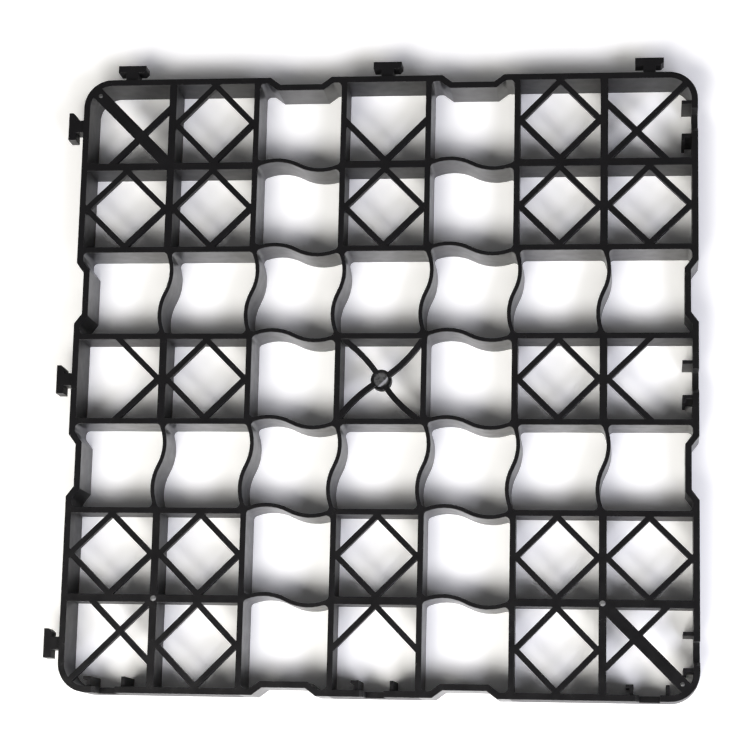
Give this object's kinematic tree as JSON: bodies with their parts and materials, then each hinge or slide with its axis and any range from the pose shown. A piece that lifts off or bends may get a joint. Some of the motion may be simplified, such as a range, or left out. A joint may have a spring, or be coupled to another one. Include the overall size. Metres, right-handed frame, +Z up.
{
  "type": "grass paver grid",
  "caption": "Square black plastic ground grid with open wavy-walled cells and diamond-braced cells, clipping to its neighbours by hook tabs and sockets.",
  "frame": {"origin": "bottom centre of the box round the tile and its tabs", "axes": "+Z up out of the laid face, hook tabs on the -X and +Y sides, sockets on the +X and -Y sides"},
  "size_m": [0.513, 0.513, 0.038],
  "materials": {
    "black_plastic": "satin"
  },
  "bodies": {
    "root": {"paver_grid": "black_plastic"}
  },
  "joints": []
}
